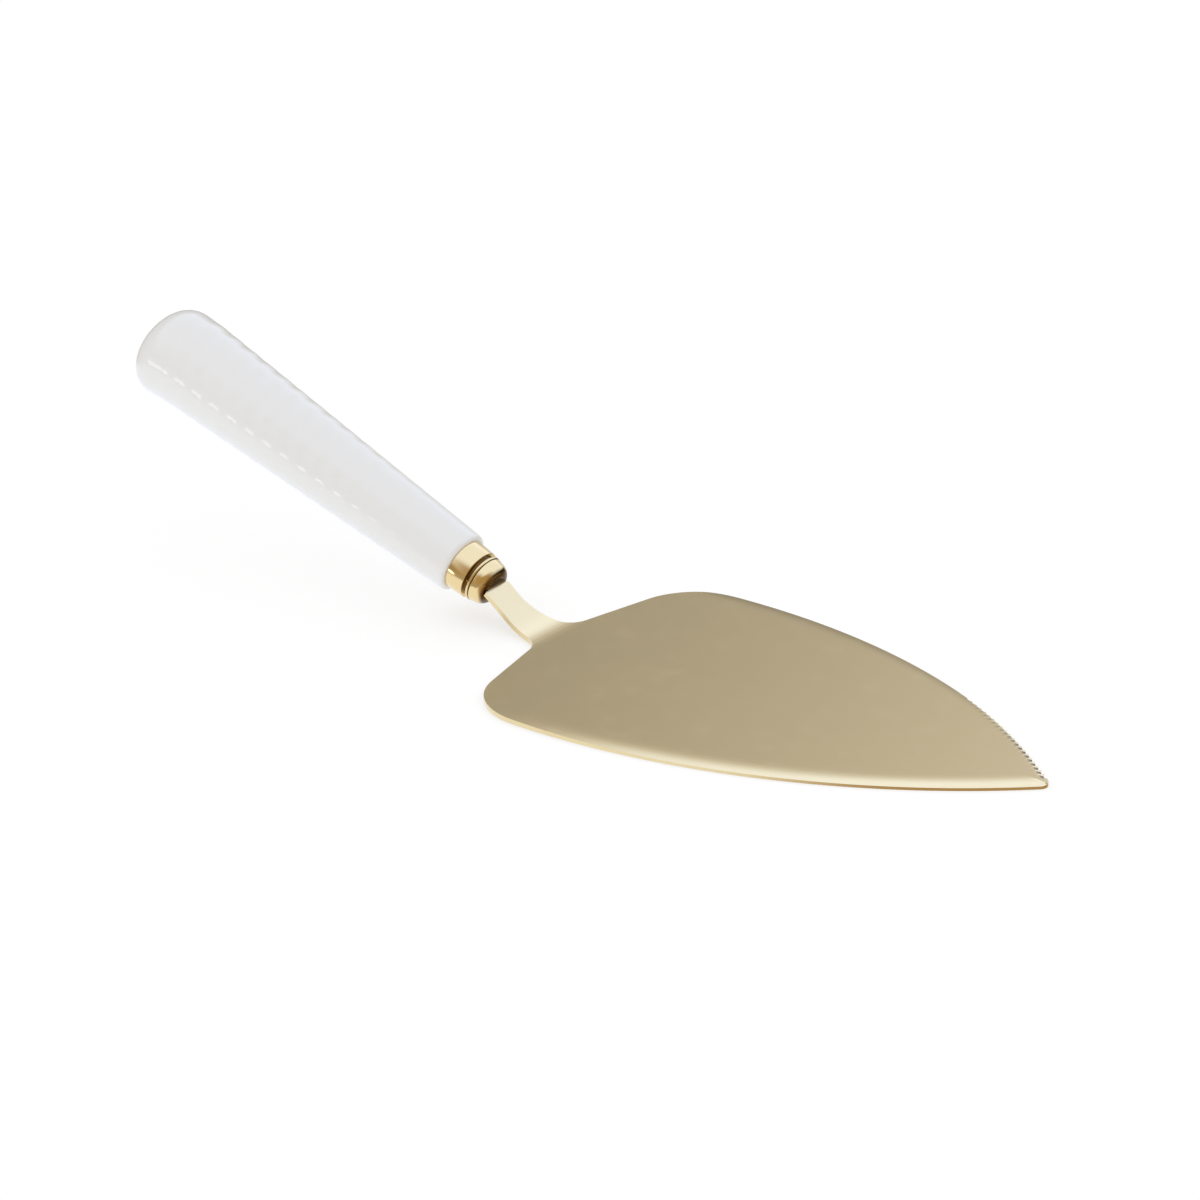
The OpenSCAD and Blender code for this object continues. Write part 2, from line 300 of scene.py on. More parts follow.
class LeafOutline:
    """Half widths of the flat blade and its neck, from the same arcs as the solid."""
    HEEL_STEPS, SHOULDER_STEPS, CORNER_STEPS, TIP_STEPS, TOOTH_STEPS = 14, 10, 18, 14, 8
    SIDE_STEP = 2.2 * MM
    POINT_ANGLE = math.radians(2)
    WAIST_BLEND = 0.12 * MM

    def __init__(self, blade):
        self.blade = blade
        half = blade.leaf_width / 2
        self.radius = ((blade.leaf_length - blade.belly) ** 2 + half ** 2) / blade.leaf_width
        self.centre = Vector((blade.belly, half - self.radius))
        reach = self.radius - half
        self.tip = Vector((blade.belly + math.sqrt((self.radius - blade.tip_radius) ** 2 - reach ** 2), 0))
        self.tip_angle = math.atan2(reach, self.tip.x - blade.belly)
        lean, flare = blade.shoulder_lean, blade.neck_flare
        along = Vector((math.sin(lean), math.cos(lean)))
        inward = Vector((math.cos(lean), -math.sin(lean)))
        start = Vector((blade.shoulder_root, 0)) + blade.shoulder_radius * inward - self.centre
        run = start.dot(along)
        run = -run + math.sqrt(run ** 2 - start.length_squared + (self.radius - blade.shoulder_radius) ** 2)
        self.corner = self.centre + start + run * along
        self.corner_angle = math.atan2(self.corner.y - self.centre.y, self.corner.x - self.centre.x)
        heel_y = ((blade.waist_width / 2 + (blade.shoulder_root + blade.waist_back) * math.tan(flare))
                  / (1 - math.tan(lean) * math.tan(flare)))
        root = Vector((blade.shoulder_root + heel_y * math.tan(lean), heel_y))
        tangent = blade.heel_radius * math.tan((math.pi / 2 - lean - flare) / 2)
        neck_point = root - tangent * turn(flare)
        self.heel = neck_point + blade.heel_radius * turn(flare + math.pi / 2)
        self.first_tooth = math.acos((blade.teeth_start - blade.belly) / self.radius)
        self.tooth_step = blade.tooth_pitch / self.radius
        self.tooth_count = math.floor((self.first_tooth - self.tip_angle) / self.tooth_step)

    def neck_half(self, x, end_x):
        """Half width of the neck, with a soft waist."""
        blade = self.blade
        from_waist = x + blade.waist_back
        opening = from_waist * math.tan(blade.neck_flare)
        closing = (from_waist / (end_x + blade.waist_back)
                   * (blade.neck_end_width - blade.waist_width) / 2)
        middle, apart = (opening + closing) / 2, (opening - closing) / 2
        return blade.waist_width / 2 + middle + math.hypot(apart, self.WAIST_BLEND)

    def leaf_rows(self):
        """Points (x, half width) along the flat blade, from the heel to the point."""
        blade = self.blade
        lean = blade.shoulder_lean
        heel = arc(self.heel, blade.heel_radius, blade.neck_flare - math.pi / 2, -lean, self.HEEL_STEPS)
        corner = arc(self.corner, blade.shoulder_radius, math.pi - lean, self.corner_angle, self.CORNER_STEPS)
        shoulder = [heel[-1].lerp(corner[0], i / self.SHOULDER_STEPS) for i in range(1, self.SHOULDER_STEPS)]
        teeth_from = self.first_tooth + self.tooth_step / 2
        steps = math.ceil((self.corner_angle - teeth_from) * self.radius / self.SIDE_STEP)
        side = arc(self.centre, self.radius, self.corner_angle, teeth_from, steps)[1:]
        teeth_to = teeth_from - self.tooth_count * self.tooth_step
        toothed = arc(self.centre, self.radius, teeth_from, teeth_to, self.tooth_count * self.TOOTH_STEPS)[1:]
        rest = arc(self.centre, self.radius, teeth_to, self.tip_angle, 3)[1:]
        tip = arc(self.tip, blade.tip_radius, self.tip_angle, self.POINT_ANGLE, self.TIP_STEPS)[1:]
        return heel + shoulder + corner + side + toothed + rest + tip

    def scallop(self, x, half):
        """Depth of the toothed edge's scallop at a row, square to the blade's length."""
        blade = self.blade
        angle = math.atan2(half - self.centre.y, x - self.centre.x)
        place = (self.first_tooth - angle) / self.tooth_step
        nearest = min(max(round(place), 0), self.tooth_count - 1)
        off = abs(place - nearest) * blade.tooth_pitch
        if off >= blade.tooth_pitch / 2:
            return 0.0
        radius = ((blade.tooth_pitch / 2) ** 2 + blade.tooth_depth ** 2) / (2 * blade.tooth_depth)
        return (blade.tooth_depth - radius + math.sqrt(radius ** 2 - off ** 2)) / math.sin(angle)


# Materials

class Value:
    """An output socket that takes part in Python sums as a number."""

    def __init__(self, graph, socket):
        self.graph, self.socket = graph, socket

    def _math(self, operation, *terms):
        return self.graph.node("ShaderNodeMath", {"operation": operation}, dict(enumerate(terms)))

    def __add__(self, other):
        return self._math("ADD", self, other)

    def __sub__(self, other):
        return self._math("SUBTRACT", self, other)

    def __rsub__(self, other):
        return self._math("SUBTRACT", other, self)

    def __mul__(self, other):
        return self._math("MULTIPLY", self, other)

    def __truediv__(self, other):
        return self._math("DIVIDE", self, other)

    def __rtruediv__(self, other):
        return self._math("DIVIDE", other, self)

    __radd__ = __add__
    __rmul__ = __mul__


class Graph:
    """A node tree that is written as expressions."""

    def __init__(self, tree):
        self.tree = tree
        tree.nodes.clear()

    def node(self, kind, settings=None, sockets=None, output=0):
        """Adds a node: its settings first, then the values or links of its sockets."""
        node = self.tree.nodes.new(kind)
        for key, value in (settings or {}).items():
            setattr(node, key, value)
        for key, value in (sockets or {}).items():
            if isinstance(value, Value):
                self.tree.links.new(value.socket, node.inputs[key])
            else:
                node.inputs[key].default_value = value
        return Value(self, node.outputs[output]) if node.outputs else None

    def place(self, scale=(1.0, 1.0, 1.0)):
        """Object coordinates, stretched for a pattern."""
        coordinates = self.node("ShaderNodeTexCoord", output="Object")
        return self.node("ShaderNodeMapping", {"vector_type": "POINT"}, {"Vector": coordinates, "Scale": scale})

    def dot(self, vector, axis):
        """Length of a vector along an axis."""
        return self.node("ShaderNodeVectorMath", {"operation": "DOT_PRODUCT"}, {0: vector, 1: axis},
                         output="Value")

    def noise(self, vector, scale, detail, roughness=0.5):
        """Soft noise from 0 to 1."""
        return self.node("ShaderNodeTexNoise", {"noise_dimensions": "3D"},
                         {"Vector": vector, "Scale": scale, "Detail": detail, "Roughness": roughness})

    def band(self, value, low, high, out_low=0.0, out_high=1.0):
        """Smooth step of a value between two limits."""
        return self.node("ShaderNodeMapRange", {"interpolation_type": "SMOOTHSTEP", "clamp": True},
                         {"Value": value, "From Min": low, "From Max": high,
                          "To Min": out_low, "To Max": out_high})

    def mix(self, factor, first, second):
        """Mixes two colours, through the numbered colour sockets of the Mix node."""
        return self.node("ShaderNodeMix", {"data_type": "RGBA"}, {0: factor, 6: first, 7: second}, output=2)

    def tinted(self, colour, level):
        """A colour times a number."""
        return self.node("ShaderNodeVectorMath", {"operation": "SCALE"}, {0: colour, "Scale": level})

    def bump(self, height, distance, strength):
        """Bump from a height that runs from 0 to 1."""
        return self.node("ShaderNodeBump", None, {"Height": height, "Distance": distance, "Strength": strength})


def opaque(colour):
    """A colour with full alpha, as node sockets take it."""
    return (*colour, 1.0)


def surface_material(name):
    """A new material and its empty node tree."""
    material = bpy.data.materials.new(name)
    material.use_nodes = True
    return material, Graph(material.node_tree)


def close_material(graph, sockets):
    """Ends a material in its Principled shader."""
    shader = graph.node("ShaderNodeBsdfPrincipled", None, sockets)
    graph.node("ShaderNodeOutputMaterial", None, {"Surface": shader})


DEEP_GOLD = (0.96, 0.93, 0.87)
TURNED_GRAIN = (900.0, 900.0, 900.0)
CEMENT_SHADE = 0.75


def glazed_porcelain(finish, layout, handle):
    """White glaze that pools between the throwing rings, with a faint orange peel."""
    material, graph = surface_material("glazed_porcelain")
    coordinates = graph.place()
    along = graph.dot(coordinates, layout.axis) - layout.joint.dot(layout.axis)
    phase = (along - handle.lip_radius) / handle.ring_pitch
    crest = graph.node("ShaderNodeMath", {"operation": "COSINE"}, {0: phase * math.tau})
    grown = graph.band(along, 0.0, handle.ring_fade)
    cloud = graph.noise(coordinates, scale=55.0, detail=3.0)
    ring_share, cloud_share = 0.3, 0.4
    pooled = grown * (crest * ring_share + ring_share) + cloud * cloud_share
    peel = graph.noise(coordinates, scale=900.0, detail=2.0)
    wobble = graph.noise(coordinates, scale=130.0, detail=1.0)
    close_material(graph, {
        "Base Color": graph.mix(pooled, opaque(finish.glaze), opaque(finish.glaze_pool)),
        "Roughness": 0.09 + cloud * 0.08,
        "IOR": 1.5,
        "Coat Weight": 0.15,
        "Coat Roughness": 0.04,
        "Normal": graph.bump(peel * 0.25 + wobble, distance=0.05 * MM, strength=0.5),
    })
    return material


def gold_plate(name, colour, roughness, grain_scale, painted_shade=None):
    """Polished gold plate: fine polishing lines, soft cloudy patches and a few rubbed places.

    Painted shade takes the graph and its Object coordinates and gives the share and the colour of painted shade
    and painted dark reflection, laid over the plate.
    """
    material, graph = surface_material(name)
    lines = graph.noise(graph.place(grain_scale), scale=1.0, detail=4.0, roughness=0.6)
    even = graph.place()
    cloud = graph.noise(even, scale=42.0, detail=4.0, roughness=0.55)
    rubbed = graph.band(graph.noise(even, scale=170.0, detail=5.0, roughness=0.6), 0.52, 0.72)
    deep = tuple(channel * factor for channel, factor in zip(colour, DEEP_GOLD))
    cloud_share, line_share = 0.7, 0.3
    plate = graph.mix(cloud * cloud_share + lines * line_share, opaque(colour), opaque(deep))
    # Lays the painted shade and painted dark reflection over the plate's colour
    if painted_shade:
        dark, dark_colour = painted_shade(graph, even)
        plate = graph.mix(dark, plate, opaque(dark_colour))
    close_material(graph, {
        "Base Color": plate,
        "Metallic": 1.0,
        "Roughness": roughness * (0.8 + 0.25 * cloud + 0.2 * lines) + rubbed * 0.03,
        "Normal": graph.bump(lines, distance=0.01 * MM, strength=0.25),
    })
    return material


def set_cement(finish):
    """Grainy matt cement."""
    material, graph = surface_material("set_cement")
    grain = graph.noise(graph.place(), scale=1400.0, detail=6.0, roughness=0.7)
    dark = tuple(channel * CEMENT_SHADE for channel in finish.cement)
    close_material(graph, {
        "Base Color": graph.mix(grain, opaque(finish.cement), opaque(dark)),
        "Roughness": 0.8 + grain * 0.15,
        "Normal": graph.bump(grain, distance=0.1 * MM, strength=0.6),
    })
    return material


# Operators

class MakeBlade(bpy.types.Operator):
    """Extrudes the sheet row by row from the tang to the point, then thickens it and rolls its border"""
    bl_idname = "cake_server.blade"
    bl_label = "Blade"

    COLUMNS = 33
    CLUSTER = 0.6
    BEND_STEPS, RUN_STEPS, TANG_STEPS = 14, 8, 6
    TANG_STEP_BACK = 0.05 * MM
    ROW_GAP = 0.6 * MM
    COLUMN_PICK = 0.2
    PLAIN_ROLL, TOOTHED_ROLL = 3, 2
    GULLET_FULL, GULLET_GONE, GULLET_EDGE = 0.35, 0.8, (-0.4, 0.3)
    GRAIN = (60.0, 2200.0, 400.0)

    def bend_profile(self, blade):
        """Underside (x, z) of the eased bend, from its upper end on the neck to the flat blade."""
        step = blade.bend_ease / self.BEND_STEPS
        x, z = 0.0, 0.0
        profile = [(x, z)]
        for i in range(self.BEND_STEPS):
            angle = blade.neck_slope * ease((i + 0.5) / self.BEND_STEPS)
            x, z = x - step * math.cos(angle), z + step * math.sin(angle)
            profile.append((x, z))
        corner = -blade.belly - (blade.bend_radius + blade.thickness) * math.tan(blade.neck_slope / 2)
        start = corner - (x + z / math.tan(blade.neck_slope))
        return [(start + x, z) for x, z in reversed(profile)]

    def sheet_path(self, blade, layout, outline):
        """Rows (x, z, half width) of the sheet's underside, from the tang's end to the point."""
        half_t = blade.thickness / 2
        under = layout.up * -half_t
        tang_end = layout.joint + blade.tang_length * layout.axis + under
        nose = layout.neck_end + under
        back = nose + layout.axis * self.TANG_STEP_BACK
        rows = []
        for i in range(self.TANG_STEPS + 1):
            place = tang_end.lerp(back, i / self.TANG_STEPS)
            rows.append((place.x, place.z, blade.tang_width / 2))
        bend_x = -blade.belly
        end_x = layout.neck_end.x - bend_x
        leaf = [(point.x + bend_x, point.y) for point in outline.leaf_rows()]
        bend = self.bend_profile(blade)
        bend_places, bend_heights = zip(*bend)
        for i in range(self.RUN_STEPS):
            place = nose.lerp(Vector((bend[0][0], 0, bend[0][1])), i / self.RUN_STEPS)
            rows.append((place.x, place.z, outline.neck_half(place.x - bend_x, end_x)))
        rows += [(x, z, outline.neck_half(x - bend_x, end_x))
                 for x, z in bend if x < leaf[0][0] - self.ROW_GAP]
        rows += [(x, float(np.interp(x, bend_places, bend_heights)), half) for x, half in leaf]
        return rows

    def lay_rows(self, rows):
        """A grid strip for the first two rows, then one extrusion per row."""
        deselect_all()
        bpy.ops.mesh.primitive_grid_add(x_subdivisions=1, y_subdivisions=self.COLUMNS - 1, size=2.0)
        piece = bpy.context.object
        piece.name = piece.data.name = "gold_blade"
        bpy.ops.object.mode_set(mode="EDIT")
        bpy.ops.mesh.select_mode(type="VERT")
        columns = [-1 + 2 * column / (self.COLUMNS - 1) for column in range(self.COLUMNS)]
        for even in sorted(columns, key=abs, reverse=True):
            close = (1 - self.CLUSTER) * even + self.CLUSTER * math.sin(even * math.pi / 2)
            select_where(piece, lambda place: abs(place.y - even) < self.COLUMN_PICK / self.COLUMNS)
            bpy.ops.transform.translate(value=(0.0, close - even, 0.0))
        for side, (x, z, half) in ((-1, rows[0]), (1, rows[1])):
            select_where(piece, lambda place: place.x * side > 0.5)
            bpy.ops.transform.resize(value=(1.0, half, 1.0), center_override=(float(side), 0.0, 0.0))
            bpy.ops.transform.translate(value=(x - side, 0.0, z))
        for (x0, z0, half0), (x, z, half) in zip(rows[1:], rows[2:]):
            extrude_by((x - x0, 0.0, z - z0))
            bpy.ops.transform.resize(value=(1.0, half / half0, 1.0), center_override=(x, 0.0, z))
        return piece

    def cut_teeth(self, piece, blade, outline):
        """Pulls the far half of each row in by the depth of its scallop."""
        for point in outline.leaf_rows():
            x, half = point.x - blade.belly, point.y
            depth = outline.scallop(point.x, half) if point.x > blade.teeth_start - blade.tooth_pitch else 0.0
            if depth > 0.0:
                select_where(piece, lambda place: abs(place.x - x) < MERGE_DISTANCE and place.y > 0)
                bpy.ops.transform.resize(value=(1.0, 1 - depth / half, 1.0), center_override=(x, 0.0, 0.0))

    def roll_border(self, piece, blade, outline):
        """Lowers the upper face towards both side edges and hollows it behind each scallop."""
        group = piece.vertex_groups.new(name="border")
        deepest = max(blade.plain_drop, blade.toothed_drop + blade.hollow_drop)
        for vertex in piece.data.vertices:
            x, y, z = vertex.co
            if z < blade.thickness / 2:
                continue
            place = Vector((x + blade.belly, abs(y)))
            inside = max(outline.radius - (place - outline.centre).length, 0.0)
            if y <= 0:
                grown = ease((place.x - blade.belly / 2) / blade.border_growth)
                fall = grown * blade.plain_drop * max(1 - inside / blade.plain_border, 0.0) ** self.PLAIN_ROLL
            else:
                fall = blade.toothed_drop * max(1 - inside / blade.toothed_border, 0.0) ** self.TOOTHED_ROLL
            if y > 0 and place.x > blade.teeth_start:
                grown = (place.x - blade.teeth_start) / (outline.tip.x - blade.teeth_start)
                scallop = outline.scallop(place.x, place.y) / blade.tooth_depth
                fall += grown * scallop * blade.hollow_drop * ease(1 - inside / blade.hollow_width)
            if fall > 0:
                group.add([vertex.index], min(fall / deepest, 1.0), "REPLACE")
        apply_modifier(piece, "DISPLACE", direction="Z", mid_level=0.0, strength=-deepest,
                       vertex_group=group.name)

    def gullet_shade(self, graph, coordinates, blade, outline):
        """Share of painted dark reflection in the hollows behind the teeth, growing towards the point."""
        x = graph.dot(coordinates, (1.0, 0.0, 0.0)) + (blade.belly - outline.centre.x)
        y = graph.dot(coordinates, (0.0, 1.0, 0.0)) - outline.centre.y
        angle = graph.node("ShaderNodeMath", {"operation": "ARCTAN2"}, {0: y, 1: x})
        reach = graph.node("ShaderNodeMath", {"operation": "SQRT"}, {0: x * x + y * y})
        phase = (outline.first_tooth - angle) / outline.tooth_step
        middle = graph.node("ShaderNodeMath", {"operation": "COSINE"}, {0: phase * math.tau})
        rim = graph.band(reach, outline.radius - blade.hollow_width, outline.radius - blade.hollow_width / 2)
        tip, span = outline.tip_angle, outline.first_tooth - outline.tip_angle
        grown = graph.band(angle, tip + self.GULLET_FULL * span, tip + self.GULLET_GONE * span, 1.0, 0.0)
        off_point = graph.band(angle, tip, tip + outline.tooth_step)
        return rim * grown * off_point * graph.band(middle, *self.GULLET_EDGE)

    def execute(self, context):
        scene = context.scene
        blade, finish = scene.server_blade, scene.server_finish
        layout, outline = ServerLayout(scene), LeafOutline(blade)
        piece = self.lay_rows(self.sheet_path(blade, layout, outline))
        self.cut_teeth(piece, blade, outline)
        bpy.ops.mesh.select_all(action="SELECT")
        bpy.ops.mesh.normals_make_consistent(inside=False)
        bpy.ops.object.mode_set(mode="OBJECT")
        facing = 1.0 if piece.data.polygons[-1].normal.z > 0 else -1.0
        apply_modifier(piece, "SOLIDIFY", thickness=blade.thickness, offset=facing)
        self.roll_border(piece, blade, outline)

        # Painted dark reflection in the gullets' hollows, in the painted shade colour
        def painted_shade(graph, coordinates):
            return self.gullet_shade(graph, coordinates, blade, outline), finish.painted_shade

        material = gold_plate("blade_gold", finish.blade_gold, finish.satin, self.GRAIN, painted_shade)
        finish_piece(piece, "blade", material, sharp=32)
        return {"FINISHED"}


class MakeBolster(bpy.types.Operator):
    """Spins the bolster's section: spigot, groove, bead, nose and flat front face"""
    bl_idname = "cake_server.bolster"
    bl_label = "Bolster"

    SPIN_STEPS = 112
    BEAD_STEPS, CREASE_STEPS, NOSE_STEPS = 14, 4, 14
    CREASE = 0.3 * MM
    SHADE_REACH = 0.18 * MM
    FACE_DARK, FACE_CLEAR = 0.36 * MM, 1.26 * MM

    def execute(self, context):
        scene = context.scene
        fitting, handle, finish = scene.server_fitting, scene.server_handle, scene.server_finish
        layout = ServerLayout(scene)
        front = -layout.nose_front
        spigot = fitting.ferrule_bore / 2 - fitting.film
        groove = fitting.groove_diameter / 2
        groove_front = -fitting.ferrule_length - fitting.groove_width
        bead_front = groove_front - fitting.bead_width
        bead = fitting.bead_width / 2
        nose = fitting.nose_diameter / 2
        corner = Vector((nose - fitting.nose_taper / 2 - fitting.nose_radius, front + fitting.nose_radius))
        section = [(0.0, -handle.spigot_length), (spigot, -handle.spigot_length),
                   (spigot, -fitting.ferrule_length), (groove, -fitting.ferrule_length), (groove, groove_front)]
        section += arc(Vector((fitting.bead_diameter / 2 - bead, groove_front - bead)), bead,
                       math.pi / 2, -math.pi / 2, self.BEAD_STEPS)
        section += [(groove, bead_front)]
        section += arc(Vector((nose - self.CREASE, bead_front - self.CREASE)), self.CREASE,
                       math.pi / 2, 0.0, self.CREASE_STEPS)
        section += arc(corner, fitting.nose_radius, 0.0, -math.pi / 2, self.NOSE_STEPS)
        section += [(0.0, front)]
        piece = layout.spin("gold_bolster", section, self.SPIN_STEPS)

        # Painted shade in the groove and in the crease behind the bead, and a painted dark reflection across
        # the front face
        def painted_shade(graph, coordinates):
            along = graph.dot(coordinates, layout.axis) - layout.joint.dot(layout.axis)
            in_groove = graph.band(along, groove_front - self.SHADE_REACH, groove_front + self.SHADE_REACH)
            in_crease = graph.band(along, bead_front - self.SHADE_REACH, bead_front)
            past_crease = graph.band(along, bead_front, bead_front + self.SHADE_REACH)
            on_face = graph.band(along, front + self.FACE_DARK, front + self.FACE_CLEAR, 1.0, 0.0)
            return in_groove + in_crease * (1 - past_crease) + on_face, finish.painted_shade

        material = gold_plate("bolster_gold", finish.fitting_gold, finish.polish, TURNED_GRAIN, painted_shade)
        finish_piece(piece, "bolster", material, sharp=40)
        return {"FINISHED"}


class MakeFerrule(bpy.types.Operator):
    """Spins the plain conical band over the porcelain's spigot"""
    bl_idname = "cake_server.ferrule"
    bl_label = "Ferrule"

    SPIN_STEPS = 128
    EDGE_STEPS = 5

    def execute(self, context):
        scene = context.scene
        fitting, finish = scene.server_fitting, scene.server_finish
        layout = ServerLayout(scene)
        bore, rear, front = fitting.ferrule_bore / 2, fitting.ferrule_rear / 2, fitting.ferrule_front / 2
        edge, length = fitting.edge_radius, fitting.ferrule_length
        rear_edge = arc(Vector((rear - edge, -edge)), edge, math.pi / 2, 0.0, self.EDGE_STEPS)
        front_edge = arc(Vector((front - edge, edge - length)), edge, 0.0, -math.pi / 2, self.EDGE_STEPS)
        section = [(bore, 0.0), *rear_edge, *front_edge, (bore, -length), (bore, 0.0)]
        piece = layout.spin("gold_ferrule", section, self.SPIN_STEPS)
        material = gold_plate("ferrule_gold", finish.fitting_gold, finish.polish, TURNED_GRAIN)
        finish_piece(piece, "ferrule", material, sharp=40)
        return {"FINISHED"}


class MakeHandle(bpy.types.Operator):
    """Spins the porcelain's section: socket, spigot, lip, throwing rings and dome"""
    bl_idname = "cake_server.handle"
    bl_label = "Handle"

    SPIN_STEPS = 128
    LIP_STEPS, RING_STEPS, DOME_STEPS = 10, 14, 36
    DOME_POWER = 2.4
    SAG_POWER, SAG_SHORTENS = 2, 0.4

    def execute(self, context):
        scene = context.scene
        fitting, handle, finish = scene.server_fitting, scene.server_handle, scene.server_finish
        layout = ServerLayout(scene)
        barrel_end = handle.length - handle.dome_length
        cone = (handle.butt_diameter - handle.front_diameter) / 2 / barrel_end

        def plain(along):
            return handle.front_diameter / 2 + cone * along

        def ringed(along):
            grown = min(1.0, along / handle.ring_fade)
            phase = math.tau * (along - handle.lip_radius) / handle.ring_pitch
            return plain(along) - handle.ring_depth / 2 * grown * math.cos(phase)

        lip = handle.lip_radius
        spigot = fitting.ferrule_bore / 2 - fitting.film
        socket = handle.socket_diameter / 2
        section = [(0.0, handle.socket_depth), (socket, handle.socket_depth), (socket, -handle.spigot_length),
                   (spigot, -handle.spigot_length), (spigot, 0.0)]
        section += arc(Vector((plain(lip) - lip, lip)), lip, -math.pi / 2, 0.0, self.LIP_STEPS)
        rings = math.floor((barrel_end - lip) / handle.ring_pitch)
        for i in range(1, rings * self.RING_STEPS + 1):
            along = lip + i * handle.ring_pitch / self.RING_STEPS
            section.append((ringed(along), along))
        power = 2 / self.DOME_POWER
        for i in range(self.DOME_STEPS + 1):
            angle = math.pi / 2 * i / self.DOME_STEPS
            section.append((plain(barrel_end) * max(math.cos(angle), 0.0) ** power,
                            barrel_end + handle.dome_length * math.sin(angle) ** power))
        section[-1] = (0.0, handle.length)
        piece = layout.spin("porcelain_handle", section, self.SPIN_STEPS)
        sag_start = barrel_end - handle.dome_length
        sag_places = [along for radius, along in section if along > sag_start and radius > 0]
        for along in (*sag_places, handle.length):
            sunk = handle.droop * ((along - sag_start) / (handle.length - sag_start)) ** self.SAG_POWER
            select_where(piece, lambda place: abs(layout.along(place) - along) < MERGE_DISTANCE)
            bpy.ops.transform.translate(value=layout.up * -sunk - layout.axis * sunk * self.SAG_SHORTENS)
        finish_piece(piece, "handle", glazed_porcelain(finish, layout, handle), sharp=50)
        return {"FINISHED"}


class FinishCement(bpy.types.Operator):
    """Gives the hidden cement core its finish"""
    bl_idname = "cake_server.cement"
    bl_label = "Cement"

    def execute(self, context):
        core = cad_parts["cement_core"]
        core.data.materials.clear()
        core.data.materials.append(set_cement(context.scene.server_finish))
        return {"FINISHED"}


